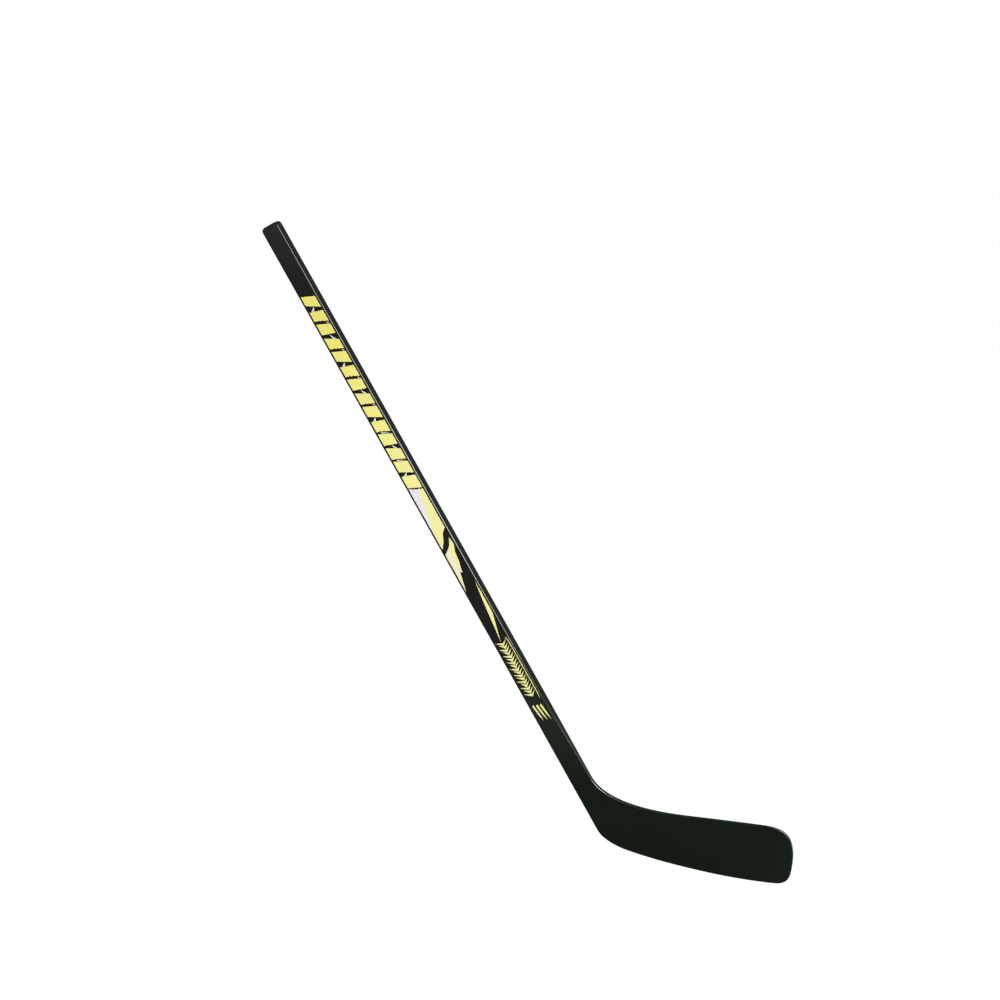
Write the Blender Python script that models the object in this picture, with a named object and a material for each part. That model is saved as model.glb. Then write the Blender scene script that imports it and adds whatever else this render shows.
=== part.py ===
"""Youth ice hockey stick: a laminated wooden shaft, slotted over the tongue of a moulded ABS blade.

Metres, +Z up, in the playing position. The origin is the point of the sole that touches the ice, +X runs
along the blade to the toe, the shaft rises towards -X, and -Y is the decorated side.

Points of the stick's own flat plane are pairs (x, z): x is measured from the heel, z from the ice.
A place along the shaft is its distance s from the heel, and a place across it is v, from the axis to the toe
side.
"""

import math

import bmesh
import bpy
from mathutils import Matrix, Vector
from mathutils.geometry import interpolate_bezier

# Driving dimensions
STICK_LENGTH = 0.914  # heel to butt, along the shaft
LIE = math.radians(50)  # the shaft's slope above the ice
SHAFT_WIDTH = 0.0246
SHAFT_THICKNESS = 0.018
CORNER = 0.0022  # rounding along every edge
BUTT_CORNER = 0.0055
BLADE_LENGTH = 0.269
BLADE_HEEL_THICKNESS = 0.0086
BLADE_TOE_THICKNESS = 0.005
CURVE_DEPTH = 0.0114  # how far the toe stands out of the shaft's plane, towards -Y
CURVE_START = 0.080
THINNING_START = 0.040
SOLE_CONTACT = 0.134  # where the sole touches the ice, from the heel
SOLE_ROCKER = 0.78
SOLE_FLAT = 0.006  # half the length of the flat at the point of contact

# The hosel, where the shaft thins and flares into the blade
HOSEL_FOOT = 0.078
HOSEL_TOP = 0.240
HEEL_FLARE = 0.0022
TOE_FLARE = 0.0014
SOCK_TOP = 0.250  # the glass sock ends here, and the shaft's finish begins
TONGUE_TOP = 0.150

# Layers, from the outside in
GAP = 0.0003
FINISH = 0.0008  # the printed finish on the shaft, and the glass sock on the blade
GLASS = 0.0008
VENEER = 0.0011
CORE_PLIES = 5
LEAST_PLY = 0.0002  # a milled ply is cut off where it gets this thin

# Control points of the blade's outline
AXIS_FOOT = Vector((0.0116, 0.0274))  # the shaft's axis at s = 0
HEEL_TURN = 0.005  # s where the heel's curve begins
HEEL_LANDING = 0.045  # x where the heel's curve meets the sole
TOE_LIFT = 0.246  # x where the sole turns up into the toe
TOE_LOW = Vector((0.2690, 0.031))
TOE_HIGH = Vector((0.2680, 0.053))
TOE_SHOULDER = 0.222  # x where the top edge turns down into the toe
TOP_EDGE_MIDDLE = Vector((0.1556, 0.0730))
TOP_EDGE_SLOPE = 0.114
THROAT_END = 0.115  # x where the throat's curve meets the top edge
THROAT_TURN = 0.071  # s where the throat's curve begins

# Handles of the outline's curves, as steps from their control points
HEEL_PULL = 0.011  # down the shaft's edge
SOLE_HEEL_PULL = Vector((-0.022, 0.0022))
SOLE_TOE_PULL = Vector((0.017, 0.0021))
TOE_LOW_PULL_DOWN = Vector((-0.0003, -0.015))
TOE_LOW_PULL_UP = Vector((0.0002, 0.007))
TOE_HIGH_PULL_DOWN = Vector((0.001, -0.007))
TOE_HIGH_PULL_UP = Vector((-0.0040, 0.0232))
SHOULDER_PULL = Vector((0.0285, 0.0028))
THROAT_END_PULL = Vector((-0.0695, -0.0079))
THROAT_PULL = 0.030  # down the shaft's edge

UP_SHAFT = Vector((-math.cos(LIE), math.sin(LIE)))
ACROSS_SHAFT = Vector((math.sin(LIE), math.cos(LIE)))
SHAFT_FRAME = Matrix((  # takes (s, y, v) to (x, y, z)
    (UP_SHAFT.x, 0, ACROSS_SHAFT.x, AXIS_FOOT.x),
    (0, 1, 0, 0),
    (UP_SHAFT.y, 0, ACROSS_SHAFT.y, AXIS_FOOT.y),
    (0, 0, 0, 1),
))

# Fineness
ROUNDING_STEPS = 3
CORNER_STEPS = 8
TOE_EDGE_STEPS = 4
SOLE_STEPS = 6  # on each side of the flat
THROAT_STEPS = 13
HOSEL_STEPS = 7
BLADE_STEPS = 11
MERGE = 1e-6
SQUARE = math.radians(60)  # edges that turn more than this are rounded over
SMOOTH = math.radians(35)  # edges that turn less than this are shaded smooth
OVERRUN = 0.010  # how far an outline or a hollow runs past the end that is cut in it
HOSEL_STATIONS = [HOSEL_FOOT + (HOSEL_TOP - HOSEL_FOOT) * i / HOSEL_STEPS for i in range(HOSEL_STEPS + 1)]
BLADE_PITCH = (BLADE_LENGTH - CURVE_START) / BLADE_STEPS
BLADE_STATIONS = [CURVE_START + BLADE_PITCH * i for i in range(-2, BLADE_STEPS)]


# The stick's shape


def rise(s):
    """0 at the foot of the hosel and below, 1 where the shaft has its full section."""
    share = (s - HOSEL_FOOT) / (HOSEL_TOP - HOSEL_FOOT)
    return math.sin(min(max(share, 0), 1) * math.pi / 2)


def half_thickness(x, s):
    share = min(max((x - THINNING_START) / (BLADE_LENGTH - THINNING_START), 0), 1)
    thinning = (BLADE_HEEL_THICKNESS - BLADE_TOE_THICKNESS) * share
    hosel = BLADE_HEEL_THICKNESS + (SHAFT_THICKNESS - BLADE_HEEL_THICKNESS) * rise(s)
    return (hosel - thinning) / 2


def curve_at(x):
    """How far the blade stands out of the shaft's plane at x."""
    share = max((x - CURVE_START) / (BLADE_LENGTH - CURVE_START), 0)
    return -CURVE_DEPTH * share**2


def heel_side(s):
    return -SHAFT_WIDTH / 2 - HEEL_FLARE * (1 - rise(s))


def toe_side(s):
    return SHAFT_WIDTH / 2 + TOE_FLARE * (1 - rise(s))


def shaft_point(s, v):
    return AXIS_FOOT + s * UP_SHAFT + v * ACROSS_SHAFT


def along_shaft(point):
    return (point - AXIS_FOOT).dot(UP_SHAFT)


def sole_point(x):
    reach = max(abs(x - SOLE_CONTACT) - SOLE_FLAT, 0)
    return Vector((x, reach**2 / (2 * SOLE_ROCKER)))


def top_edge_point(x):
    return TOP_EDGE_MIDDLE + (x - TOP_EDGE_MIDDLE.x) * Vector((1, TOP_EDGE_SLOPE))


def curve(start, start_pull, end, end_pull, steps):
    """The points of a cubic curve, whose handles are its two ends moved by their pulls."""
    return list(interpolate_bezier(start, start + start_pull, end + end_pull, end, steps))


def sole_run(start, end):
    """Points of the sole from start to end, both included."""
    return [sole_point(start + (end - start) * i / SOLE_STEPS) for i in range(SOLE_STEPS + 1)]


def blade_outline(top):
    """The outline of the blade and of the hosel up to s = top, counter-clockwise."""
    stations = sorted([s for s in HOSEL_STATIONS if s < top] + [top], reverse=True)
    heel = shaft_point(HEEL_TURN, heel_side(HEEL_TURN))
    heel_landing = sole_point(HEEL_LANDING)
    toe_lift = sole_point(TOE_LIFT)
    shoulder = top_edge_point(TOE_SHOULDER)
    throat_end = top_edge_point(THROAT_END)
    throat = shaft_point(THROAT_TURN, toe_side(THROAT_TURN))
    points = [shaft_point(s, heel_side(s)) for s in stations]
    points += curve(heel, -HEEL_PULL * UP_SHAFT, heel_landing, SOLE_HEEL_PULL, CORNER_STEPS)[:-1]
    points += sole_run(HEEL_LANDING, SOLE_CONTACT - SOLE_FLAT)
    points += sole_run(SOLE_CONTACT + SOLE_FLAT, TOE_LIFT)[:-1]
    points += curve(toe_lift, SOLE_TOE_PULL, TOE_LOW, TOE_LOW_PULL_DOWN, CORNER_STEPS)[:-1]
    points += curve(TOE_LOW, TOE_LOW_PULL_UP, TOE_HIGH, TOE_HIGH_PULL_DOWN, TOE_EDGE_STEPS)[:-1]
    points += curve(TOE_HIGH, TOE_HIGH_PULL_UP, shoulder, SHOULDER_PULL, CORNER_STEPS)
    points.append((shoulder + throat_end) / 2)
    points += curve(throat_end, THROAT_END_PULL, throat, -THROAT_PULL * UP_SHAFT, THROAT_STEPS)
    points += [shaft_point(s, toe_side(s)) for s in reversed(stations)]
    return points


def inset(points, distance):
    """The closed outline moved inwards by the distance, its corners kept sharp."""
    moved = []
    for before, here, after in zip(points[-1:] + points[:-1], points, points[1:] + points[:1]):
        arriving = (here - before).normalized()
        leaving = (after - here).normalized()
        inward = Vector((-arriving.y - leaving.y, arriving.x + leaving.x)).normalized()
        facing = inward.dot(Vector((-arriving.y, arriving.x)))
        moved.append(here + inward * distance / facing)
    return moved


# Making meshes and objects


def rounded_board(points, rounding):
    """The flat outline as a board as thick as the shaft, its middle at y = 0, with rounded edges."""
    half = SHAFT_THICKNESS / 2
    data = bpy.data.curves.new("outline", "CURVE")
    data.dimensions = "2D"
    data.fill_mode = "BOTH"
    data.extrude = half - rounding
    data.bevel_depth = rounding
    data.bevel_resolution = ROUNDING_STEPS - 1
    data.offset = -rounding
    spline = data.splines.new("POLY")
    spline.points.add(len(points) - 1)
    for target, point in zip(spline.points, points):
        target.co = (point.x, point.y, 0, 1)
    spline.use_cyclic_u = True
    guide = bpy.data.objects.new("outline", data)
    bpy.context.scene.collection.objects.link(guide)
    mesh = bpy.data.meshes.new_from_object(guide.evaluated_get(bpy.context.evaluated_depsgraph_get()))
    bpy.data.objects.remove(guide)
    bm = bmesh.new()
    bm.from_mesh(mesh)
    bpy.data.meshes.remove(mesh)
    bmesh.ops.remove_doubles(bm, verts=bm.verts, dist=MERGE)
    for side in (-half, half):
        cap = [face for face in bm.faces if all(abs(vert.co.z - side) < MERGE for vert in face.verts)]
        bmesh.ops.dissolve_faces(bm, faces=cap)
    bmesh.ops.transform(bm, matrix=Matrix.Rotation(math.pi / 2, 4, "X"), verts=bm.verts)
    return bm


def cut_across(bm, point, normal, clear_outer=False):
    whole = bm.verts[:] + bm.edges[:] + bm.faces[:]
    bmesh.ops.bisect_plane(bm, geom=whole, plane_co=point, plane_no=normal, clear_outer=clear_outer)


def cut_across_shaft(bm, s, clear_outer=False):
    foot = shaft_point(s, 0)
    cut_across(bm, (foot.x, 0, foot.y), (UP_SHAFT.x, 0, UP_SHAFT.y), clear_outer)


def rim_edges(bm, keep):
    """The square edges whose middle the keep function accepts."""
    bm.normal_update()
    middles = [(edge, (edge.verts[0].co + edge.verts[1].co) / 2) for edge in bm.edges]
    return [edge for edge, middle in middles if edge.calc_face_angle(0) > SQUARE and keep(middle)]


def round_over(bm, edges, radius):
    bmesh.ops.bevel(bm, geom=edges, offset=radius, segments=ROUNDING_STEPS, profile=0.5, affect="EDGES")


def to_world(bm):
    """Moves a solid from the stick's plane, with x from the heel, to the contact point's frame."""
    bmesh.ops.translate(bm, vec=(-SOLE_CONTACT, 0, 0), verts=bm.verts)


def blade_solid(depth, top, thickest=SHAFT_THICKNESS):
    """The blade and hosel up to s = top, at the depth below the outer surface everywhere but at the top."""
    bm = rounded_board(inset(blade_outline(top + OVERRUN), depth), CORNER - depth)
    for s in HOSEL_STATIONS:
        if s < top - MERGE:
            cut_across_shaft(bm, s)
    for x in BLADE_STATIONS:
        cut_across(bm, (x, 0, 0), (1, 0, 0))
    cut_across_shaft(bm, top, clear_outer=True)
    for vert in bm.verts:
        s = along_shaft(Vector((vert.co.x, vert.co.z)))
        half = min(half_thickness(vert.co.x, s) - depth, thickest / 2)
        below_face = SHAFT_THICKNESS / 2 - abs(vert.co.y)
        vert.co.y = curve_at(vert.co.x) + math.copysign(half - below_face, vert.co.y)
    bmesh.ops.holes_fill(bm, edges=[edge for edge in bm.edges if edge.is_boundary])
    to_world(bm)
    return bm


def shaft_solid(depth, foot):
    """The shaft from s = foot to the butt, at the depth below the outer surface everywhere but at the foot."""
    end = STICK_LENGTH - depth
    bm = bmesh.new()
    bmesh.ops.create_cube(bm, size=2)
    bmesh.ops.scale(bm, vec=((end - foot) / 2, 1, 1), verts=bm.verts)
    bmesh.ops.translate(bm, vec=((end + foot) / 2, 0, 0), verts=bm.verts)
    for s in HOSEL_STATIONS:
        if s > foot + MERGE:
            cut_across(bm, (s, 0, 0), (1, 0, 0))
    for vert in bm.verts:
        s = vert.co.x
        vert.co.y = math.copysign(half_thickness(0, s) - depth, vert.co.y)
        vert.co.z = toe_side(s) - depth if vert.co.z > 0 else heel_side(s) + depth
    butt = [vert for vert in bm.verts if vert.co.x > end - MERGE]
    corners = [edge for edge in bm.edges if all(vert in butt for vert in edge.verts)]
    corners = [edge for edge in corners if abs(edge.verts[0].co.z - edge.verts[1].co.z) < MERGE]
    round_over(bm, corners, BUTT_CORNER - depth)
    round_over(bm, rim_edges(bm, lambda middle: middle.x > foot + MERGE), CORNER - depth)
    bmesh.ops.transform(bm, matrix=SHAFT_FRAME, verts=bm.verts)
    to_world(bm)
    return bm


def shaft_slab(low, high, foot):
    """A straight board along the shaft from s = foot, between y = low and y = high, wider than the shaft."""
    bm = bmesh.new()
    bmesh.ops.create_cube(bm, size=1)
    bmesh.ops.scale(bm, vec=(STICK_LENGTH - foot, high - low, 2 * SHAFT_WIDTH), verts=bm.verts)
    bmesh.ops.translate(bm, vec=((STICK_LENGTH + foot) / 2, (low + high) / 2, 0), verts=bm.verts)
    bmesh.ops.transform(bm, matrix=SHAFT_FRAME, verts=bm.verts)
    to_world(bm)
    return bm


def finished_mesh(name, bm):
    bmesh.ops.recalc_face_normals(bm, faces=bm.faces)
    mesh = bpy.data.meshes.new(name)
    bm.to_mesh(mesh)
    bm.free()
    mesh.shade_smooth()
    mesh.set_sharp_from_angle(angle=SMOOTH)
    return mesh


def add_part(name, bm, material):
    part = bpy.data.objects.new(name, finished_mesh(name, bm))
    part.data.materials.append(material)
    parts.objects.link(part)
    return part


def add_cutter(name, bm):
    cutter = bpy.data.objects.new(name, finished_mesh(name, bm))
    cutter.hide_render = True
    cutter.display_type = "WIRE"
    cutters.objects.link(cutter)
    return cutter


def boolean(part, cutter, operation):
    modifier = part.modifiers.new(operation.lower(), "BOOLEAN")
    modifier.operation = operation
    modifier.solver = "EXACT"
    modifier.object = cutter


def material(name, colour, roughness):
    made = bpy.data.materials.new(name)
    made.use_nodes = True
    shader = made.node_tree.nodes["Principled BSDF"]
    shader.inputs["Base Color"].default_value = (*colour, 1)
    shader.inputs["Roughness"].default_value = roughness
    shader.inputs["Metallic"].default_value = 0
    made.diffuse_color = (*colour, 1)
    return made


# The sub-parts


def milled_foot(inner):
    """s where the hosel's milling leaves a ply, whose inner face is at y = inner, its least thickness."""
    half = inner + LEAST_PLY + FINISH + GAP
    full = (SHAFT_THICKNESS - BLADE_HEEL_THICKNESS) / 2
    share = (half - BLADE_HEEL_THICKNESS / 2) / full
    return HOSEL_FOOT + (HOSEL_TOP - HOSEL_FOOT) * math.asin(share) * 2 / math.pi


def add_shaft_layer(name, inner, outer, foot, wood, envelope):
    """One layer of the shaft, between distances inner and outer from its middle plane on one side."""
    layer = add_part(name, shaft_slab(inner, outer, foot), wood)
    boolean(layer, envelope, "INTERSECT")


def add_shaft_layers():
    """The core plies, and on each wide face a veneer and a glass laminate, all milled to the hosel."""
    depth = FINISH + GAP
    envelope = add_cutter("shaft_envelope", shaft_solid(depth, HOSEL_FOOT))
    glass_outer = SHAFT_THICKNESS / 2 - depth
    glass_inner = glass_outer - GLASS
    veneer_outer = glass_inner - GAP
    veneer_inner = veneer_outer - VENEER
    core_half = veneer_inner - GAP
    for side, name in ((-1, "front"), (1, "back")):
        for kind, inner, outer, look in (
            ("glass", glass_inner, glass_outer + GAP, glass),
            ("veneer", veneer_inner, veneer_outer, birch),
        ):
            low, high = sorted((side * inner, side * outer))
            add_shaft_layer(f"shaft_{kind}_{name}", low, high, milled_foot(inner), look, envelope)
    pitch = (2 * core_half + GAP) / CORE_PLIES
    for i in range(CORE_PLIES):
        low = -core_half + i * pitch
        high = low + pitch - GAP
        outermost = i in (0, CORE_PLIES - 1)
        foot = milled_foot(min(abs(low), abs(high))) if outermost else TONGUE_TOP
        add_shaft_layer(f"shaft_core_ply_{i + 1}", low, high, foot, poplar, envelope)
    return core_half - pitch  # half the slot that the outermost plies leave for the tongue


def add_finish_sleeve():
    """The printed and lacquered skin of the shaft, closed over the butt."""
    sleeve = add_part("shaft_finish_sleeve", shaft_solid(0, SOCK_TOP + GAP), black_lacquer)
    hollow = add_cutter("sleeve_hollow", shaft_solid(FINISH, SOCK_TOP - OVERRUN))
    boolean(sleeve, hollow, "DIFFERENCE")


def add_blade(slot_half):
    """The ABS core with its tongue in the shaft's slot, and the glass sock over the blade and hosel."""
    tongue = 2 * (slot_half - GAP)
    add_part("blade_core", blade_solid(FINISH + GAP, TONGUE_TOP - GAP, tongue), abs_plastic)
    sock = add_part("blade_sock", blade_solid(0, SOCK_TOP), black_glass)
    hollow = add_cutter("sock_hollow", blade_solid(FINISH, SOCK_TOP + OVERRUN))
    boolean(sock, hollow, "DIFFERENCE")


for leftover in list(bpy.data.objects):
    bpy.data.objects.remove(leftover)

parts = bpy.data.collections.new("ice_hockey_stick")
cutters = bpy.data.collections.new("cutters")
for collection in (parts, cutters):
    bpy.context.scene.collection.children.link(collection)

black_lacquer = material("black_lacquer", (0.012, 0.012, 0.011), 0.35)
black_glass = material("black_glass", (0.010, 0.012, 0.010), 0.5)
abs_plastic = material("abs_plastic", (0.03, 0.03, 0.03), 0.55)
glass = material("glass_laminate", (0.62, 0.66, 0.55), 0.4)
birch = material("birch", (0.72, 0.55, 0.35), 0.6)
poplar = material("poplar", (0.66, 0.55, 0.38), 0.65)

add_finish_sleeve()
add_blade(add_shaft_layers())
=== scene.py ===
"""The looks of the youth ice hockey stick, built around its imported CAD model.

Metres, in the CAD model's frame. The stick's own plane, the distance s along the shaft from the
heel and the distance v across the shaft to the toe side are the CAD source's, and so are the
formulas of the outline.
"""

import math
import random

import bmesh
import bpy
from mathutils import Matrix, Vector
from mathutils.geometry import interpolate_bezier


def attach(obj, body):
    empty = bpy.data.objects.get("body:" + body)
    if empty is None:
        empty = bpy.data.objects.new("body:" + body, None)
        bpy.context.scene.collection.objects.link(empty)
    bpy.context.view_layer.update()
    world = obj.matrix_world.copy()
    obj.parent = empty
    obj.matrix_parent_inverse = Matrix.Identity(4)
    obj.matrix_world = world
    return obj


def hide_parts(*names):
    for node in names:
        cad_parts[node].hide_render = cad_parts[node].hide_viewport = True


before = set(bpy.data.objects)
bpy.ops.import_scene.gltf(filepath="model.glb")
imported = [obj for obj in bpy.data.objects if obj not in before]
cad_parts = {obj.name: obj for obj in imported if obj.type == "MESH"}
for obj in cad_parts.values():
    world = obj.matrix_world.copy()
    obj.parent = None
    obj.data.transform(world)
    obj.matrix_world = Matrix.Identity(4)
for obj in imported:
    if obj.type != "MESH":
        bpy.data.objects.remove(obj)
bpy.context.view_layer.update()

# Driving dimensions, as in the CAD source
STICK_LENGTH = 0.914  # heel to butt, along the shaft
LIE = math.radians(50)  # the shaft's slope above the ice
SHAFT_WIDTH = 0.0246
SHAFT_THICKNESS = 0.018
CORNER = 0.0022  # rounding along every edge
BUTT_CORNER = 0.0055
BLADE_LENGTH = 0.269
BLADE_HEEL_THICKNESS = 0.0086
BLADE_TOE_THICKNESS = 0.005
CURVE_DEPTH = 0.0114  # how far the toe stands out of the shaft's plane, towards -Y
CURVE_START = 0.080
THINNING_START = 0.040
SOLE_CONTACT = 0.134  # where the sole touches the ice, from the heel
SOLE_ROCKER = 0.78
SOLE_FLAT = 0.006
HOSEL_FOOT = 0.078
HOSEL_TOP = 0.240
HEEL_FLARE = 0.0022
TOE_FLARE = 0.0014
SOCK_TOP = 0.250  # the glass sock ends here, and the shaft's finish begins
FINISH = 0.0008  # the thickness of the shaft's finish and of the sock

# Control points and handles of the blade's outline, as in the CAD source
AXIS_FOOT = Vector((0.0116, 0.0274))  # the shaft's axis at s = 0
HEEL_TURN = 0.005
HEEL_LANDING = 0.045
TOE_LIFT = 0.246
TOE_LOW = Vector((0.2690, 0.031))
TOE_HIGH = Vector((0.2680, 0.053))
TOE_SHOULDER = 0.222
TOP_EDGE_MIDDLE = Vector((0.1556, 0.0730))
TOP_EDGE_SLOPE = 0.114
THROAT_END = 0.115
THROAT_TURN = 0.071
HEEL_PULL = 0.011
SOLE_HEEL_PULL = Vector((-0.022, 0.0022))
SOLE_TOE_PULL = Vector((0.017, 0.0021))
TOE_LOW_PULL_DOWN = Vector((-0.0003, -0.015))
TOE_LOW_PULL_UP = Vector((0.0002, 0.007))
TOE_HIGH_PULL_DOWN = Vector((0.001, -0.007))
TOE_HIGH_PULL_UP = Vector((-0.0040, 0.0232))
SHOULDER_PULL = Vector((0.0285, 0.0028))
THROAT_END_PULL = Vector((-0.0695, -0.0079))
THROAT_PULL = 0.030

# Directions in the stick's own plane, and the same two in space
UP_SHAFT = Vector((-math.cos(LIE), math.sin(LIE)))
ACROSS_SHAFT = Vector((math.sin(LIE), math.cos(LIE)))
ALONG_SHAFT = Vector((UP_SHAFT.x, 0, UP_SHAFT.y))
TO_TOE_SIDE = Vector((ACROSS_SHAFT.x, 0, ACROSS_SHAFT.y))

# Fineness of the visual surfaces
CORNER_STEPS = 20
SOLE_STEPS = 12
TOE_EDGE_STEPS = 8
THROAT_STEPS = 30
ROUNDING_STEPS = 6
SHAFT_STEPS = 24
BUTT_STEPS = 9
HOSEL_PITCH = 0.006
BLADE_PITCH = 0.005
FILM_CUTS = 40  # cuts across an ink film, half a hosel pitch apart, so that it follows the hosel
MERGE = 1e-6  # vertices closer than this are one
CUT_MERGE = 5e-6  # the same, after cuts have left slivers
OVERRUN = 0.010  # how far the hosel is drawn past the sock's top before it is cut off there
SMOOTH = math.radians(40)
BUTT_CROWN = 0.0006  # how far the butt's middle stands above its rim
CROWN_REACH = 0.012
LEAST_CORNER = 0.25  # the share of its radius that a corner keeps at the very end of the butt

# The print on the wide faces
INK = 0.00006  # thickness of one ink film
PRINT_HALF = 0.0092  # half the printed width
SLANT = 0.42  # how far a bar's edge falls along the shaft for each unit across it
BAR_COUNT = 14
BAR_TOP = 0.8101
BAR_PITCH = 0.0208
FIRST_GAP = 0.0186  # from the first bar's top to the middle of the gap under it
WIDE_GAP, NARROW_END, THIN_GAP = 0.0100, 0.0050, 0.0045  # a wide gap's two ends, and a thin gap
GAP_SHRINK = 0.32  # how much of its width a gap has lost at the foot of the bars
# A torn edge: the share of the width where each point lies, and how far it is torn up
TORN = ((0.24, 0.0002), (0.32, 0.0014), (0.41, 0.0001), (0.60, 0.0011), (0.68, 0.0), (0.82, 0.0006))
# A white splinter in a wide gap: the share of the gap's height, and the distance from the middle
SPLINTER = ((0.92, 0.0002), (0.03, 0.0020), (0.03, 0.0062))
# A white slash in a thin gap: its two ends across the shaft, in the lower gaps and in the upper
LONG_SLASH, SHORT_SLASH = (-0.0046, 0.0072), (0.0050, 0.0088)
SLASH_HEIGHTS = (0.78, 0.18, 0.40)
SLASH_WIDTH = 0.0016
# The streaks and the flash under the bars, as points (s, v) in millimetres
STREAK_GAP = 0.0016
FIRST_STREAK_FOOT = ((453, 9.2), (447, 2.6), (436, -2.8), (428, -9.2))
SECOND_STREAK = ((438, 7.6), (428, 1.5), (420, -9.2), (364, -9.2), (392, -2.6), (389, -0.5),
                 (404, 3.2), (418, 5.0), (428, 8.8))
FLASH = ((371, 9.2), (343, 5.4), (298, 0.5), (285, -1.0), (322, 8.6), (329, 9.2))
# The chevrons: v at the apex and at the wings' tips, and how far each may be drawn from there
CHEVRON_TOP = 0.282
CHEVRON_COUNT = 17
CHEVRON_SEED = 3
CHEVRON_PITCH = 0.0048
CHEVRON_DEPTH = 0.0038
APEX, APEX_PLAY = 0.0012, 0.0009
APEX_LEAN = 0.0006  # how far an apex's lower side lies towards the heel side of its upper side
LONG_WING, SHORT_WING, HEEL_PLAY = 0.0092, 0.0066, 0.0005
TOE_WING, TOE_PLAY = 0.0076, 0.0004
HEEL_RISE, TOE_RISE = 0.0040, 0.0034
# The rail beside the chevrons
RAIL_RISE = 0.0070
RAIL_INSIDE, RAIL_OUTSIDE = 0.0086, 0.0096
RAIL_HEAD, RAIL_HEAD_LENGTH = 0.0070, 0.0060
RAIL_TAIL, RAIL_TAIL_LENGTH = 0.0080, 0.0050
# The claw marks, as strokes of one outline, whose points (s, v) are measured from its top
CLAW_TOP = 0.190
CLAW_COUNT = 3
CLAW_FIRST, CLAW_PITCH = -0.0062, 0.0052
CLAW_STAGGER = 0.0016
CLAW = ((0, -0.0012), (-0.0150, 0.0010), (-0.0235, 0.0034), (-0.0130, 0.0030), (0.0012, 0.0014))

# The stage: its glow as the camera sees it, and as the object does
FLOOR_GLOW, FLOOR_GLOW_SEEN = 0.985, 0.16
STUDIO_GLOW, STUDIO_GLOW_SEEN = 1.0, 0.12
FLOOR_RADIUS = 60
FLOOR_SEGMENTS = 64

# The camera
VIEW_AZIMUTH = math.radians(16.23)
VIEW_ELEVATION = math.radians(13.0)
VIEW_ROLL = math.radians(8.81)
VIEW_DISTANCE = 20
VIEW_AIM = Vector((-0.3411, 0.0047, 0.4292))
FRAME_WIDTH = 1.3169
SENSOR = 36  # in millimetres
FAR_CLIP = 200


# The stick's shape, as in the CAD source


def rise(s):
    """0 at the foot of the hosel and below, 1 where the shaft has its full section."""
    share = (s - HOSEL_FOOT) / (HOSEL_TOP - HOSEL_FOOT)
    return math.sin(min(max(share, 0), 1) * math.pi / 2)


def half_thickness(x, s):
    share = min(max((x - THINNING_START) / (BLADE_LENGTH - THINNING_START), 0), 1)
    thinning = (BLADE_HEEL_THICKNESS - BLADE_TOE_THICKNESS) * share
    hosel = BLADE_HEEL_THICKNESS + (SHAFT_THICKNESS - BLADE_HEEL_THICKNESS) * rise(s)
    return (hosel - thinning) / 2


def curve_at(x):
    """How far the blade stands out of the shaft's plane at x."""
    share = max((x - CURVE_START) / (BLADE_LENGTH - CURVE_START), 0)
    return -CURVE_DEPTH * share**2


def heel_side(s):
    return -SHAFT_WIDTH / 2 - HEEL_FLARE * (1 - rise(s))


def toe_side(s):
    return SHAFT_WIDTH / 2 + TOE_FLARE * (1 - rise(s))


def shaft_point(s, v):
    return AXIS_FOOT + s * UP_SHAFT + v * ACROSS_SHAFT


def along_shaft(point):
    return (point - AXIS_FOOT).dot(UP_SHAFT)


def world_point(s, y, v):
    point = shaft_point(s, v)
    return Vector((point.x - SOLE_CONTACT, y, point.y))


def sole_point(x):
    reach = max(abs(x - SOLE_CONTACT) - SOLE_FLAT, 0)
    return Vector((x, reach**2 / (2 * SOLE_ROCKER)))


def top_edge_point(x):
    return TOP_EDGE_MIDDLE + (x - TOP_EDGE_MIDDLE.x) * Vector((1, TOP_EDGE_SLOPE))


def curve(start, start_pull, end, end_pull, steps):
    """The points of a cubic curve, whose handles are its two ends moved by their pulls."""
    return list(interpolate_bezier(start, start + start_pull, end + end_pull, end, steps))


def sole_run(start, end):
    return [sole_point(start + (end - start) * i / SOLE_STEPS) for i in range(SOLE_STEPS + 1)]


def hosel_stations(top):
    """Distances s up the hosel, from its foot to top, both included."""
    count = round((top - HOSEL_FOOT) / HOSEL_PITCH)
    return [HOSEL_FOOT + (top - HOSEL_FOOT) * i / count for i in range(count + 1)]


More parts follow.
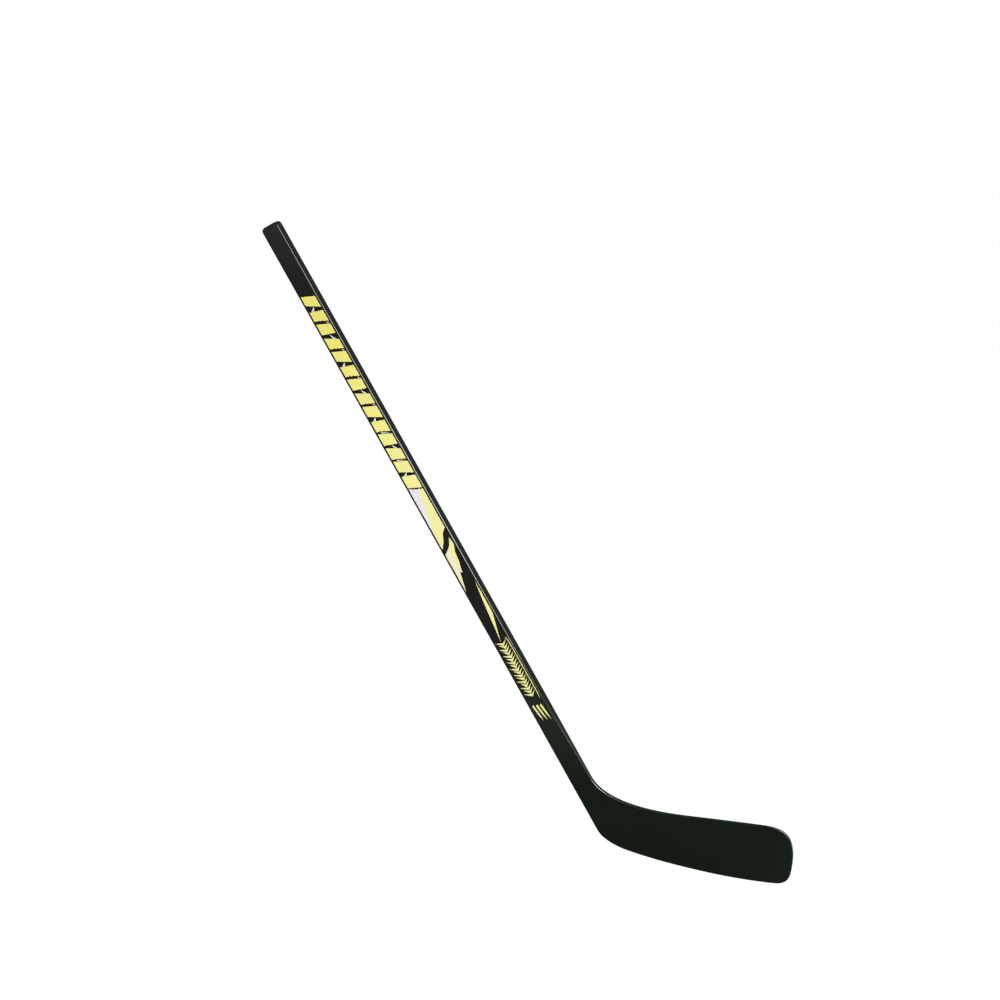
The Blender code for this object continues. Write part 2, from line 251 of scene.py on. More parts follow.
def blade_outline(top):
    """The outline of the blade and of the hosel up to s = top, counter-clockwise."""
    stations = hosel_stations(top)
    heel = shaft_point(HEEL_TURN, heel_side(HEEL_TURN))
    heel_landing = sole_point(HEEL_LANDING)
    toe_lift = sole_point(TOE_LIFT)
    shoulder = top_edge_point(TOE_SHOULDER)
    throat_end = top_edge_point(THROAT_END)
    throat = shaft_point(THROAT_TURN, toe_side(THROAT_TURN))
    points = [shaft_point(s, heel_side(s)) for s in reversed(stations)]
    points += curve(heel, -HEEL_PULL * UP_SHAFT, heel_landing, SOLE_HEEL_PULL, CORNER_STEPS)[:-1]
    points += sole_run(HEEL_LANDING, SOLE_CONTACT - SOLE_FLAT)
    points += sole_run(SOLE_CONTACT + SOLE_FLAT, TOE_LIFT)[:-1]
    points += curve(toe_lift, SOLE_TOE_PULL, TOE_LOW, TOE_LOW_PULL_DOWN, CORNER_STEPS)[:-1]
    points += curve(TOE_LOW, TOE_LOW_PULL_UP, TOE_HIGH, TOE_HIGH_PULL_DOWN, TOE_EDGE_STEPS)[:-1]
    points += curve(TOE_HIGH, TOE_HIGH_PULL_UP, shoulder, SHOULDER_PULL, CORNER_STEPS)
    points.append((shoulder + throat_end) / 2)
    points += curve(throat_end, THROAT_END_PULL, throat, -THROAT_PULL * UP_SHAFT, THROAT_STEPS)
    points += [shaft_point(s, toe_side(s)) for s in stations]
    return points


def inset(points, distance):
    """The closed outline moved inwards by the distance, its corners kept sharp."""
    moved = []
    for before, here, after in zip(points[-1:] + points[:-1], points, points[1:] + points[:1]):
        arriving = (here - before).normalized()
        leaving = (after - here).normalized()
        inward = Vector((-arriving.y - leaving.y, arriving.x + leaving.x)).normalized()
        facing = inward.dot(Vector((-arriving.y, arriving.x)))
        moved.append(here + inward * distance / facing)
    return moved


# Making meshes


def evaluated_mesh(thing):
    """A new mesh of the object as its modifiers or its curve's settings make it."""
    depsgraph = bpy.context.evaluated_depsgraph_get()
    return bpy.data.meshes.new_from_object(thing.evaluated_get(depsgraph))


def new_piece(name, bm, material):
    """A piece from the bmesh, shaded smooth up to the sharp angle, its wide faces kept flat."""
    bm.normal_update()
    bmesh.ops.recalc_face_normals(bm, faces=bm.faces)
    mesh = bpy.data.meshes.new(name)
    bm.to_mesh(mesh)
    bm.free()
    mesh.shade_smooth()
    mesh.set_sharp_from_angle(angle=SMOOTH)
    mesh.materials.append(material)
    piece = bpy.data.objects.new(name, mesh)
    bpy.context.scene.collection.objects.link(piece)
    piece.modifiers.new("flat_faces_stay_flat", "WEIGHTED_NORMAL").keep_sharp = True
    weighted = evaluated_mesh(piece)
    piece.modifiers.clear()
    piece.data = weighted
    bpy.data.meshes.remove(mesh)
    return piece


def flat_board(outlines, extrude, rounding=0.0):
    """The flat outlines as a board across z, whose half-thickness is extrude + rounding."""
    data = bpy.data.curves.new("outline", "CURVE")
    data.dimensions = "2D"
    data.fill_mode = "BOTH"
    data.extrude = extrude
    data.bevel_depth = rounding
    data.bevel_resolution = ROUNDING_STEPS - 1
    data.offset = -rounding
    for points in outlines:
        spline = data.splines.new("POLY")
        spline.points.add(len(points) - 1)
        for target, point in zip(spline.points, points):
            target.co = (point[0], point[1], 0, 1)
        spline.use_cyclic_u = True
    guide = bpy.data.objects.new("outline", data)
    bpy.context.scene.collection.objects.link(guide)
    mesh = evaluated_mesh(guide)
    bpy.data.objects.remove(guide)
    bm = bmesh.new()
    bm.from_mesh(mesh)
    bpy.data.meshes.remove(mesh)
    bmesh.ops.remove_doubles(bm, verts=bm.verts, dist=MERGE)
    return bm


def cut_across(bm, point, normal, clear_outer=False):
    whole = bm.verts[:] + bm.edges[:] + bm.faces[:]
    bmesh.ops.bisect_plane(bm, geom=whole, plane_co=point, plane_no=normal,
                           clear_outer=clear_outer)


def cut_across_shaft(bm, s, clear_outer=False):
    foot = shaft_point(s, 0)
    cut_across(bm, (foot.x, 0, foot.y), ALONG_SHAFT, clear_outer)


def blade_surface(depth):
    """The surface of the blade and hosel moved inwards by the depth, open at the sock's top."""
    bm = flat_board([inset(blade_outline(SOCK_TOP + OVERRUN), depth)],
                    SHAFT_THICKNESS / 2 - CORNER + depth, CORNER - depth)
    for side in (-1, 1):
        level = side * SHAFT_THICKNESS / 2
        cap = [
            face for face in bm.faces
            if all(abs(vert.co.z - level) < MERGE for vert in face.verts)
        ]
        bmesh.ops.dissolve_faces(bm, faces=cap)
    bmesh.ops.transform(bm, matrix=Matrix.Rotation(math.pi / 2, 4, "X"), verts=bm.verts)
    for s in hosel_stations(SOCK_TOP)[:-1]:
        cut_across_shaft(bm, s)
    for i in range(math.ceil((BLADE_LENGTH - THINNING_START) / BLADE_PITCH)):
        cut_across(bm, (THINNING_START + i * BLADE_PITCH, 0, 0), (1, 0, 0))
    cut_across_shaft(bm, SOCK_TOP, clear_outer=True)
    for vert in bm.verts:
        s = along_shaft(Vector((vert.co.x, vert.co.z)))
        half = half_thickness(vert.co.x, s) - depth
        below_face = SHAFT_THICKNESS / 2 - abs(vert.co.y)
        vert.co.y = curve_at(vert.co.x) + math.copysign(half - below_face, vert.co.y)
    bmesh.ops.translate(bm, vec=(-SOLE_CONTACT, 0, 0), verts=bm.verts)
    bmesh.ops.remove_doubles(bm, verts=bm.verts, dist=CUT_MERGE)
    return bm


def rim_in_order(bm):
    """The vertices of the open end at the sock's top, in order round the shaft."""
    rim = {vert for edge in bm.edges if edge.is_boundary for vert in edge.verts}
    middle = world_point(SOCK_TOP, 0, 0)
    return sorted(
        rim, key=lambda vert: math.atan2(vert.co.y, (vert.co - middle).dot(TO_TOE_SIDE))
    )


def joined(outer, inner):
    """Two open shells of the same make as one closed wall, with a rim between their open ends."""
    outer_rim = rim_in_order(outer)
    copies = {vert: outer.verts.new(vert.co) for vert in inner.verts}
    for face in inner.faces:
        outer.faces.new([copies[vert] for vert in face.verts])
    inner_rim = [copies[vert] for vert in rim_in_order(inner)]
    inner.free()
    for i in range(len(outer_rim)):
        outer.faces.new((outer_rim[i - 1], outer_rim[i], inner_rim[i], inner_rim[i - 1]))
    return outer


def rounded_section(s, depth):
    """The shaft's section at s, moved inwards by the depth, as points (y, v).

    Towards the end of the butt it shrinks, so that the butt is rounded.
    """
    end = STICK_LENGTH - s - depth  # distance left to the end of the butt
    butt = BUTT_CORNER - depth
    rim = CORNER - depth
    butt_inset = butt - math.sqrt(max(butt**2 - max(butt - end, 0) ** 2, 0))
    rim_inset = rim - math.sqrt(max(rim**2 - max(rim - end, 0) ** 2, 0))
    half_y = SHAFT_THICKNESS / 2 - depth - rim_inset
    half_v = SHAFT_WIDTH / 2 - depth - butt_inset
    corner = max(rim - rim_inset, rim * LEAST_CORNER)
    points = []
    for quarter, (sign_y, sign_v) in enumerate(((1, 1), (-1, 1), (-1, -1), (1, -1))):
        centre = Vector((sign_y * (half_y - corner), sign_v * (half_v - corner)))
        for i in range(ROUNDING_STEPS + 1):
            angle = (quarter + i / ROUNDING_STEPS) * math.pi / 2
            points.append(centre + corner * Vector((math.cos(angle), math.sin(angle))))
    return points


def shaft_surface(depth):
    """The shaft's surface moved inwards by the depth, open at the sock's top, shut at the butt."""
    bm = bmesh.new()
    butt = BUTT_CORNER - depth
    end = STICK_LENGTH - depth
    straight = end - butt
    stations = [SOCK_TOP + (straight - SOCK_TOP) * i / SHAFT_STEPS for i in range(SHAFT_STEPS)]
    stations += [
        end - butt * (1 - math.sin(i / BUTT_STEPS * math.pi / 2)) for i in range(BUTT_STEPS + 1)
    ]
    rings = []
    for s in stations:
        near = min(max(1 - (STICK_LENGTH - s) / CROWN_REACH, 0), 1) ** 2
        ring = []
        for y, v in rounded_section(s, depth):
            off_middle = (2 * v / SHAFT_WIDTH) ** 2 + (2 * y / SHAFT_THICKNESS) ** 2
            droop = BUTT_CROWN * near * off_middle
            ring.append(bm.verts.new(world_point(s - droop, y, v)))
        rings.append(ring)
    for lower, upper in zip(rings, rings[1:]):
        for i in range(len(lower)):
            j = (i + 1) % len(lower)
            bm.faces.new((lower[i], lower[j], upper[j], upper[i]))
    bmesh.ops.contextual_create(bm, geom=rings[-1])
    bmesh.ops.remove_doubles(bm, verts=bm.verts, dist=MERGE)
    return bm


# Materials


def rgb(r, g, b):
    """A linear colour with its alpha."""
    return (r, g, b, 1.0)


YELLOW = rgb(0.672, 0.652, 0.128)
YELLOW_PALE = rgb(0.61, 0.594, 0.25)
WHITE = rgb(0.565, 0.568, 0.582)
PINHOLE = rgb(0.05, 0.05, 0.04)
# the darker black of the narrow sides, which the wide faces' black turns into, is painted shade
SIDE_START = 0.0100  # where, from the middle, a wide face's black starts to turn into a side's
DIAGONAL = 0.707  # each part of a direction at 45 degrees
WEAVE_PITCH = 0.0016
CLOTH_PITCH = 0.0018


class Nodes:
    """A material's node tree, built with short calls."""

    def __init__(self, name):
        self.material = bpy.data.materials.new(name)
        self.material.use_nodes = True
        self.tree = self.material.node_tree
        self.shader = self.tree.nodes["Principled BSDF"]

    def add(self, kind, inputs=None, **settings):
        """A node with its settings and inputs, given by name or number.

        A socket is linked to its input, and a value is set there.
        """
        node = self.tree.nodes.new("ShaderNode" + kind)
        for key, value in settings.items():
            setattr(node, key, value)
        self.fill(node, inputs or {})
        return node

    def fill(self, node, inputs):
        for key, value in inputs.items():
            socket = node.inputs[key]
            if isinstance(value, bpy.types.NodeSocket):
                self.tree.links.new(value, socket)
            else:
                socket.default_value = value

    def math(self, operation, a, b=0.0):
        return self.add("Math", {0: a, 1: b}, operation=operation).outputs[0]

    def along(self, direction, origin=(0, 0, 0)):
        """The distance of the shaded point along a direction, from an origin, in metres."""
        place = self.add("TexCoord").outputs["Object"]
        offset = self.add("VectorMath", {0: place, 1: origin}, operation="SUBTRACT").outputs[0]
        product = self.add("VectorMath", {0: offset, 1: direction}, operation="DOT_PRODUCT")
        return product.outputs["Value"]

    def shaft_coordinates(self, stretch=(1, 1, 1)):
        """(s, y, v) of the shaded point, each times its stretch, as a vector."""
        foot = world_point(0, 0, 0)
        directions = (ALONG_SHAFT, (0, 1, 0), TO_TOE_SIDE)
        parts = [
            self.math("MULTIPLY", self.along(direction, foot), factor)
            for direction, factor in zip(directions, stretch)
        ]
        return self.add("CombineXYZ", dict(enumerate(parts))).outputs[0]

    def on_side(self):
        """0 on the shaft's wide faces, 1 on its narrow sides, and between over the round corner."""
        v = self.add("SeparateXYZ", {0: self.shaft_coordinates()}).outputs[2]
        return self.span(self.math("ABSOLUTE", v), SIDE_START, SHAFT_WIDTH / 2, smooth=True)

    def noise(self, vector, scale, detail=2.0, roughness=0.5, distortion=0.0):
        inputs = {"Vector": vector, "Scale": scale, "Detail": detail, "Roughness": roughness,
                  "Distortion": distortion}
        return self.add("TexNoise", inputs).outputs["Fac"]

    def weave(self, warp, weft, pitch):
        """-1 to 1 over a cloth whose threads lie the pitch apart along two distances."""
        waves = [
            self.math("SINE", self.math("MULTIPLY", distance, 2 * math.pi / pitch))
            for distance in (warp, weft)
        ]
        return self.math("MULTIPLY", waves[0], waves[1])

    def span(self, value, low, high, to_low=0.0, to_high=1.0, smooth=False):
        """The value taken from low..high to to_low..to_high, and held there outside."""
        inputs = {0: value, 1: low, 2: high, 3: to_low, 4: to_high}
        kind = "SMOOTHSTEP" if smooth else "LINEAR"
        return self.add("MapRange", inputs, interpolation_type=kind).outputs[0]

    def mix(self, share, a, b):
        """A colour between two colours."""
        inputs = {"Factor": share, 6: a, 7: b}
        return self.add("Mix", inputs, data_type="RGBA").outputs[2]

    def bump(self, height, strength, distance, normal=None):
        inputs = {"Height": height, "Strength": strength, "Distance": distance}
        if normal is not None:
            inputs["Normal"] = normal
        return self.add("Bump", inputs).outputs[0]

    def finish(self, **inputs):
        """Sets the shader's sockets, named with _ for a space, and gives back the material."""
        self.fill(self.shader, {key.replace("_", " "): value for key, value in inputs.items()})
        return self.material


def shaft_lacquer():
    """Black lacquer over wood: a faint grain shows through, with orange peel and fine rub marks;
    painted shade darkens the narrow sides.
    """
    n = Nodes("black_lacquer")
    place = n.shaft_coordinates()
    grain = n.noise(n.shaft_coordinates((6, 260, 260)), scale=4.0, detail=4.0, roughness=0.6)
    peel = n.noise(place, scale=900.0)
    cloud = n.noise(place, scale=26.0, detail=3.0)
    rub = n.noise(n.shaft_coordinates((30, 700, 700)), scale=3.0, detail=5.0, roughness=0.7)
    face_black = rgb(0.0060, 0.0058, 0.0046)
    face_paler = rgb(0.0076, 0.0072, 0.0056)
    # painted shade: the narrow sides get a darker, greener black than the wide faces, for the light
    # that falls on them
    side_painted_shade = rgb(0.0013, 0.0028, 0.0014)
    on_side = n.on_side()
    face = n.mix(n.span(cloud, 0.35, 0.7), face_black, face_paler)
    # the wide faces' black turns into the painted shade over the round corner
    colour = n.mix(on_side, face, side_painted_shade)
    clouded = n.span(cloud, 0.3, 0.7, 0.16, 0.20)
    rubbed = n.span(rub, 0.55, 0.8, 0.0, 0.12)
    off_corner = n.math("ABSOLUTE", n.math("SUBTRACT", on_side, 0.5))
    corner = n.span(off_corner, 0.30, 0.50, 0.16, 0.0)
    roughness = n.math("ADD", n.math("ADD", clouded, rubbed), corner)
    relief = n.bump(grain, strength=0.25, distance=0.00004)
    relief = n.bump(peel, strength=0.04, distance=0.00003, normal=relief)
    return n.finish(Base_Color=colour, Roughness=roughness, Normal=relief,
                    Specular_IOR_Level=0.32)


def blade_paint():
    """Black paint over a glass sock: the weave shows faintly, and the toe is a little duller. Up
    the hosel the wide faces carry a painted sheen, and the narrow sides painted shade.
    """
    n = Nodes("black_glass")
    warp = n.along((DIAGONAL, 0, DIAGONAL))
    weft = n.along((DIAGONAL, 0, -DIAGONAL))
    weave = n.weave(warp, weft, WEAVE_PITCH)
    place = n.add("TexCoord").outputs["Object"]
    cloud = n.noise(place, scale=18.0, detail=3.0)
    fine = n.noise(place, scale=700.0)
    blade_black = rgb(0.0001, 0.0034, 0.0002)
    blade_paler = rgb(0.0006, 0.0046, 0.0007)
    # painted sheen on the hosel's wide faces, and painted shade on its narrow sides
    hosel_face_painted_sheen = rgb(0.0078, 0.0112, 0.0070)
    hosel_side_painted_shade = rgb(0.0004, 0.0012, 0.0003)
    blade = n.mix(n.span(cloud, 0.35, 0.7), blade_black, blade_paler)
    s = n.add("SeparateXYZ", {0: n.shaft_coordinates()}).outputs[0]
    # the hosel's painted sheen on the wide faces, turning into painted shade on the narrow sides
    hosel = n.mix(n.on_side(), hosel_face_painted_sheen, hosel_side_painted_shade)
    # the blade's black turns, up the hosel, into this painted sheen and shade
    colour = n.mix(n.span(s, 0.04, 0.19, smooth=True), blade, hosel)
    roughness = n.span(cloud, 0.3, 0.7, 0.25, 0.31)
    roughness = n.math("ADD", roughness, n.span(weave, -1.0, 1.0, -0.02, 0.02))
    past_shoulder = n.along((1, 0, 0), (TOE_SHOULDER - SOLE_CONTACT, 0, 0))
    roughness = n.math("ADD", roughness, n.span(past_shoulder, 0.0, 0.03, 0.0, 0.14))
    roughness = n.math("ADD", roughness, n.span(s, 0.13, SOCK_TOP, 0.0, -0.09, smooth=True))
    relief = n.bump(weave, strength=0.12, distance=0.00003)
    relief = n.bump(fine, strength=0.06, distance=0.00003, normal=relief)
    return n.finish(Base_Color=colour, Roughness=roughness, Normal=relief,
                    Specular_IOR_Level=0.32)


def ink(name, colour, pale):
    """A screen-printed ink: a slightly uneven film, paler down the shaft, with fine pinholes."""
    n = Nodes(name)
    place = n.shaft_coordinates()
    cloud = n.noise(place, scale=40.0, detail=3.0)
    speck = n.noise(place, scale=2600.0, detail=1.0)
    s = n.add("SeparateXYZ", {0: place}).outputs[0]
    share = n.math("ADD", n.span(s, 0.80, 0.45, 0.0, 0.8), n.span(cloud, 0.3, 0.7, 0.0, 0.2))
    shade = n.mix(share, colour, pale)
    shade = n.mix(n.span(speck, 0.70, 0.78, 0.0, 0.12), shade, PINHOLE)
    relief = n.bump(n.noise(place, scale=1200.0), strength=0.1, distance=0.00003)
    return n.finish(Base_Color=shade, Roughness=n.span(cloud, 0.3, 0.7, 0.36, 0.44), Normal=relief,
                    Specular_IOR_Level=0.25)


def brushed_ink():
    """The streaks' ink: white on the heel side, brushed along the shaft into yellow."""
    n = Nodes("brushed_ink")
    split = n.add("SeparateXYZ", {0: n.shaft_coordinates()})
    s, v = split.outputs[0], split.outputs[2]
    strokes = n.noise(n.shaft_coordinates((9, 0, 330)), scale=2.2, detail=4.0, roughness=0.65)
    wander = n.span(strokes, 0.3, 0.7, -0.0040, 0.0040)
    # the first streak: the edge of the white slants across it
    edge = n.span(s, 0.450, 0.516, -0.0098, 0.0042)
    past_edge = n.math("ADD", n.math("SUBTRACT", v, edge), wander)
    yellow_share = n.span(past_edge, -0.0014, 0.0014, smooth=True)
    # the second streak: a white band lies within it
    above_foot = n.span(s, 0.383, 0.392, smooth=True)
    below_head = n.span(s, 0.428, 0.418, smooth=True)
    from_middle = n.math("ADD", n.math("ADD", v, 0.0042), n.math("MULTIPLY", wander, 0.4))
    inside = n.span(n.math("ABSOLUTE", from_middle), 0.0016, 0.0028, 1.0, 0.0, smooth=True)
    band = n.math("MULTIPLY", n.math("MULTIPLY", above_foot, below_head), inside)
    yellow_share = n.math("SUBTRACT", yellow_share, n.math("MULTIPLY", band, 0.85))
    shade = n.mix(yellow_share, WHITE, YELLOW_PALE)
    return n.finish(Base_Color=shade, Roughness=0.4, Specular_IOR_Level=0.25,
                    Normal=n.bump(strokes, strength=0.1, distance=0.00003))


def wood(name, light, dark, rings):
    """Wood sawn along the shaft: long grain, with pores."""
    n = Nodes(name)
    grain = n.noise(n.shaft_coordinates((4, rings, rings)), scale=2.0, detail=5.0, roughness=0.65,
                    distortion=0.4)
    pores = n.noise(n.shaft_coordinates((40, 1500, 1500)), scale=2.0)
    shade = n.mix(n.span(grain, 0.3, 0.7), light, dark)
    shade = n.mix(n.span(pores, 0.60, 0.72, 0.0, 0.5), shade, dark)
    relief = n.bump(grain, strength=0.3, distance=0.0001)
    return n.finish(Base_Color=shade, Roughness=n.span(grain, 0.3, 0.7, 0.55, 0.72), Normal=relief)


def glass_laminate():
    """Fibreglass: pale green resin with a woven cloth in it."""
    n = Nodes("glass_laminate")
    place = n.add("SeparateXYZ", {0: n.shaft_coordinates()})
    weave = n.span(n.weave(place.outputs[0], place.outputs[2], CLOTH_PITCH), -1.0, 1.0)
    shade = n.mix(weave, rgb(0.50, 0.56, 0.42), rgb(0.72, 0.76, 0.66))
    return n.finish(Base_Color=shade, Roughness=n.span(weave, 0.0, 1.0, 0.25, 0.40),
                    Normal=n.bump(weave, strength=0.4, distance=0.0001))


def abs_plastic():
    """Moulded black ABS with a fine etched grain."""
    n = Nodes("abs_plastic")
    place = n.add("TexCoord").outputs["Object"]
    etch = n.noise(place, scale=1400.0, detail=3.0)
    flow = n.noise(place, scale=12.0, detail=3.0)
    shade = n.mix(n.span(flow, 0.3, 0.7), rgb(0.018, 0.018, 0.019), rgb(0.030, 0.030, 0.031))
    return n.finish(Base_Color=shade, Roughness=n.span(flow, 0.3, 0.7, 0.45, 0.58),
                    Normal=n.bump(etch, strength=0.25, distance=0.00005))


# The print


def slanted(s, v):
    """A place in the slanted print: s is measured on the heel side of the printed width."""
    return (s - SLANT * (v + PRINT_HALF), v)


def gap_ends(i, side):
    """The upper and lower edge of the gap under bar i at one side of the print.

    Wide gaps and thin gaps take turns, and a wide gap narrows to one side.
    """
    middle = BAR_TOP - FIRST_GAP - i * BAR_PITCH
    if i % 2:
        width = THIN_GAP
    else:
        width = WIDE_GAP if (i // 2) % 2 == (side > 0) else NARROW_END
    half = width * (1 - GAP_SHRINK * i / (BAR_COUNT - 2)) / 2
    return middle + half, middle - half


def bar_end(i, side):
    """The top and foot of bar i at one side of the print."""
    top = BAR_TOP if i == 0 else gap_ends(i - 1, side)[1]
    if i == BAR_COUNT - 1:
        foot = BAR_TOP - FIRST_GAP - i * BAR_PITCH
    else:
        foot = gap_ends(i, side)[0]
    return top, foot


def in_gap(i, height, v, lift=0.0):
    """A place in the gap under bar i: height is 0 on the lower bar and 1 on the upper one."""
    share = (v + PRINT_HALF) / (2 * PRINT_HALF)
    low = gap_ends(i, -1)[1] * (1 - share) + gap_ends(i, 1)[1] * share
    high = gap_ends(i, -1)[0] * (1 - share) + gap_ends(i, 1)[0] * share
    return slanted(low + (high - low) * height + lift, v)


def bars():
    """Slanted bars, parted by black slashes that are wider at one side than at the other."""
    outlines = []
    for i in range(BAR_COUNT):
        (heel_top, heel_foot), (toe_top, toe_foot) = bar_end(i, -1), bar_end(i, 1)
        torn = []
        if i % 2 and i < BAR_COUNT - 1:
            torn = [in_gap(i, 1, (2 * share - 1) * PRINT_HALF, lift) for share, lift in TORN]
        outlines.append([slanted(heel_top, -PRINT_HALF), slanted(heel_foot, -PRINT_HALF)] + torn
                        + [slanted(toe_foot, PRINT_HALF), slanted(toe_top, PRINT_HALF)])
    return outlines


def white_shards():
    """A splinter of white in each wide gap, and a slash of white in the lower thin ones."""
    outlines = []
    for i in range(0, BAR_COUNT - 1, 2):
        side = 1 if (i // 2) % 2 else -1
        outlines.append([in_gap(i, height, side * v) for height, v in SPLINTER])
    for i in range(1, BAR_COUNT - 1, 2):
        near, far = LONG_SLASH if i > BAR_COUNT / 2 else SHORT_SLASH
        ends = (near, near + SLASH_WIDTH, far)
        outlines.append([in_gap(i, height, v) for height, v in zip(SLASH_HEIGHTS, ends)])
    return outlines


def millimetres(points):
    return [(s / 1000, v / 1000) for s, v in points]


def streaks():
    """The two large streaks: the first starts at the last bar's torn foot."""
    top = bar_end(BAR_COUNT - 1, -1)[1] - STREAK_GAP
    torn = ((0.0, 0.0),) + TORN + ((1.0, 0.0),)
    first = [slanted(top - lift, PRINT_HALF * (2 * share - 1)) for share, lift in torn]
    return [first + millimetres(FIRST_STREAK_FOOT), millimetres(SECOND_STREAK)]


def flash():
    """The thin pointed flash below the streaks."""
    return [millimetres(FLASH)]


def rail():
    """The thin rail down the toe side of the chevrons, pointed at both ends."""
    top = CHEVRON_TOP + RAIL_RISE
    foot = CHEVRON_TOP - CHEVRON_COUNT * CHEVRON_PITCH
    return [
        (top, RAIL_HEAD),
        (top - RAIL_HEAD_LENGTH, RAIL_INSIDE),
        (foot, RAIL_INSIDE),
        (foot - RAIL_TAIL_LENGTH, RAIL_TAIL),
        (foot, RAIL_OUTSIDE),
        (top - RAIL_HEAD_LENGTH, RAIL_OUTSIDE),
    ]


def chevrons():
    """Nested chevrons with pointed wings, long and short in turn on the heel side, and a rail."""
    draw = random.Random(CHEVRON_SEED)
    outlines = []
    for i in range(CHEVRON_COUNT):
        s = CHEVRON_TOP - i * CHEVRON_PITCH
        apex = APEX + draw.uniform(-1, 1) * APEX_PLAY
        heel = -(SHORT_WING if i % 2 else LONG_WING) + draw.uniform(-1, 1) * HEEL_PLAY
        toe = TOE_WING + draw.uniform(-1, 1) * TOE_PLAY
        lower_apex = (s - CHEVRON_DEPTH, apex - APEX_LEAN)
        outlines.append([(s, apex), (s + HEEL_RISE, heel), lower_apex, (s + TOE_RISE, toe)])
    return outlines + [rail()]


def claw_marks():
    """Short tapered strokes, side by side."""
    outlines = []
    for i in range(CLAW_COUNT):
        middle = CLAW_FIRST + CLAW_PITCH * i
        top = CLAW_TOP - CLAW_STAGGER * i
        outlines.append([(top + s, middle + v) for s, v in CLAW])
    return outlines


def print_film(name, outlines, side, material):
    """An ink film on a wide face of the shaft and hosel: side is -1 at the front, 1 at the back."""
    bm = flat_board(outlines, INK / 2)
    for i in range(1, FILM_CUTS):
        cut_across(bm, (SOCK_TOP - i * HOSEL_PITCH / 2 + HOSEL_PITCH, 0, 0), (1, 0, 0))
    for vert in bm.verts:
        s, v, lift = vert.co
        y = side * (half_thickness(shaft_point(s, v).x, s) + INK / 2 + lift)
        vert.co = world_point(s, y, v)
    bmesh.ops.remove_doubles(bm, verts=bm.verts, dist=CUT_MERGE)
    piece = new_piece(name, bm, material)
    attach(piece, "root")


# The pieces

shaft_wall = joined(shaft_surface(0), shaft_surface(FINISH))
shaft_skin = new_piece("shaft_lacquer", shaft_wall, shaft_lacquer())
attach(shaft_skin, "root")
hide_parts("shaft_finish_sleeve")

blade_wall = joined(blade_surface(0), blade_surface(FINISH))
blade_skin = new_piece("blade_skin", blade_wall, blade_paint())
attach(blade_skin, "root")
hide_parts("blade_sock")

yellow = ink("yellow_ink", YELLOW, YELLOW_PALE)
white = ink("white_ink", WHITE, WHITE)
brushed = brushed_ink()
for side, face in ((-1, "front"), (1, "back")):
    print_film(f"bars_{face}", bars(), side, yellow)
    print_film(f"white_shards_{face}", white_shards(), side, white)
    print_film(f"streaks_{face}", streaks(), side, brushed)
    print_film(f"flash_{face}", flash(), side, yellow)
    print_film(f"chevrons_{face}", chevrons(), side, yellow)
    print_film(f"claw_marks_{face}", claw_marks(), side, yellow)

INNER_LOOKS = {
    "shaft_glass": glass_laminate(),
    "shaft_veneer": wood("birch", rgb(0.72, 0.55, 0.34), rgb(0.56, 0.39, 0.21), 180),
    "shaft_core": wood("poplar", rgb(0.70, 0.60, 0.40), rgb(0.52, 0.44, 0.26), 120),
    "blade_core": abs_plastic(),
}
for name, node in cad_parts.items():
    for start, look in INNER_LOOKS.items():
        if name.startswith(start):
            for material_slot in node.material_slots:
                material_slot.material = look


# The stage


def is_camera_ray(tree):
    return tree.nodes.new("ShaderNodeLightPath").outputs["Is Camera Ray"]


def floor_material():
    """A pale floor that glows, so that it is as pale far away as near by; dimmer as a light."""
    n = Nodes("floor")
    glow = n.span(is_camera_ray(n.tree), 0.0, 1.0, FLOOR_GLOW_SEEN, FLOOR_GLOW)
    n.tree.links.new(glow, n.shader.inputs["Emission Strength"])
    return n.finish(Base_Color=rgb(0.04, 0.04, 0.04), Roughness=0.9, Specular_IOR_Level=0.0,
                    Emission_Color=rgb(1, 1, 1))


def add_floor():
    bm = bmesh.new()
    bmesh.ops.create_circle(bm, cap_ends=True, radius=FLOOR_RADIUS, segments=FLOOR_SEGMENTS)
    floor = new_piece("floor", bm, floor_material())


def add_world():
    """White where the camera looks, and dimmer as a light, as in a studio with dark walls."""
    world = bpy.data.worlds.new("studio")
    bpy.context.scene.world = world
    world.use_nodes = True
    tree = world.node_tree
    strength = tree.nodes.new("ShaderNodeMapRange")
    strength.inputs["To Min"].default_value = STUDIO_GLOW_SEEN
    strength.inputs["To Max"].default_value = STUDIO_GLOW
    tree.links.new(is_camera_ray(tree), strength.inputs["Value"])
    background = tree.nodes["Background"]
    background.inputs["Color"].default_value = rgb(1, 1, 1)
    tree.links.new(strength.outputs[0], background.inputs["Strength"])


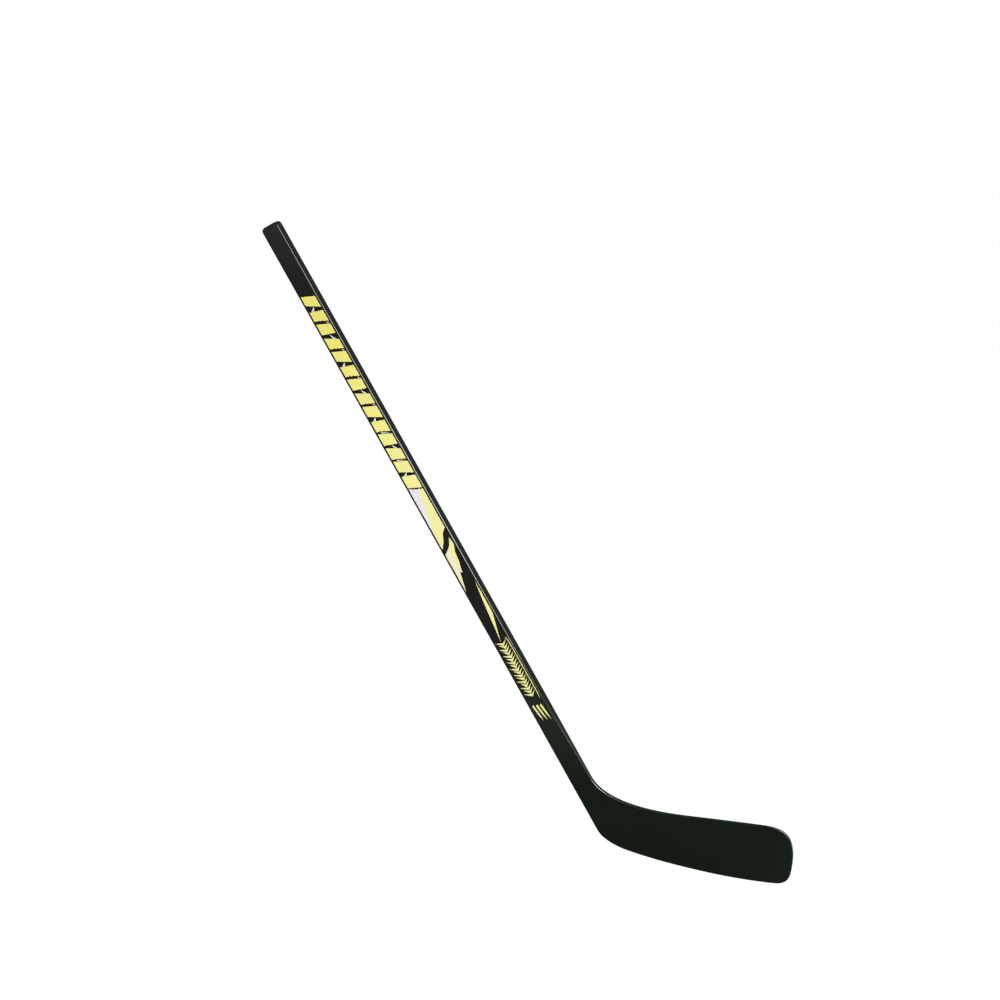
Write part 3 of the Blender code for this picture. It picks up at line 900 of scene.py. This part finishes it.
def add_softbox(name, toward, distance, size, radiance, target, upright=Vector((0, 0, 1)),
                colour=(1, 1, 1)):
    """A softbox at a distance from the target in the direction toward.

    The first size is across, and the second is along upright.
    """
    toward = Vector(toward).normalized()
    across = upright.cross(toward).normalized()
    data = bpy.data.lights.new(name, "AREA")
    data.shape = "RECTANGLE"
    data.size, data.size_y = size
    data.energy = radiance * math.pi * size[0] * size[1]
    data.color = colour
    light = bpy.data.objects.new(name, data)
    turn = Matrix((across, toward.cross(across), toward)).transposed().to_4x4()
    light.matrix_world = Matrix.Translation(target + toward * distance) @ turn
    light.visible_camera = False
    bpy.context.scene.collection.objects.link(light)


def add_camera():
    """A long lens far away, turned about its axis as the view is."""
    toward = Vector((
        math.sin(VIEW_AZIMUTH) * math.cos(VIEW_ELEVATION),
        -math.cos(VIEW_AZIMUTH) * math.cos(VIEW_ELEVATION),
        math.sin(VIEW_ELEVATION),
    ))
    data = bpy.data.cameras.new("camera")
    data.sensor_width = SENSOR
    data.lens = SENSOR * VIEW_DISTANCE / FRAME_WIDTH
    data.clip_end = FAR_CLIP
    camera = bpy.data.objects.new("camera", data)
    camera.rotation_mode = "QUATERNION"
    camera.location = VIEW_AIM + toward * VIEW_DISTANCE
    level = toward.to_track_quat("Z", "Y")
    camera.rotation_quaternion = level @ Matrix.Rotation(VIEW_ROLL, 3, "Z").to_quaternion()
    bpy.context.scene.collection.objects.link(camera)
    bpy.context.scene.camera = camera


shaft_middle = world_point(0.60, 0, 0)
above_middle = world_point(0.65, 0, 0)
past_butt = world_point(1.09, 0, 0)
throat_edge = Vector((THROAT_END - 0.03 - SOLE_CONTACT, 0, 0.085))
add_floor()
add_world()
add_softbox("key", toward=(0.715, -0.353, 0.603), distance=2.0, size=(1.5, 0.68), radiance=27,
            target=above_middle, upright=ALONG_SHAFT, colour=(1.0, 0.93, 0.98))
add_softbox("overhead", toward=(0.185, -0.365, 0.912), distance=0.85, size=(0.30, 0.19),
            radiance=62, target=throat_edge, upright=Vector((0, 1, 0)))
add_softbox("front_fill", toward=(-0.30, -0.72, 0.62), distance=2.4, size=(1.2, 1.0),
            radiance=0.6, target=shaft_middle)
add_softbox("butt_card", toward=(-0.272, -0.936, -0.225), distance=1.0, size=(0.5, 0.3),
            radiance=0.68, target=past_butt)
add_softbox("back_fill", toward=(0.886, 0.442, 0.060), distance=2.7, size=(1.0, 1.0),
            radiance=38, target=shaft_middle)
add_camera()
bpy.context.scene.view_settings.view_transform = "Standard"
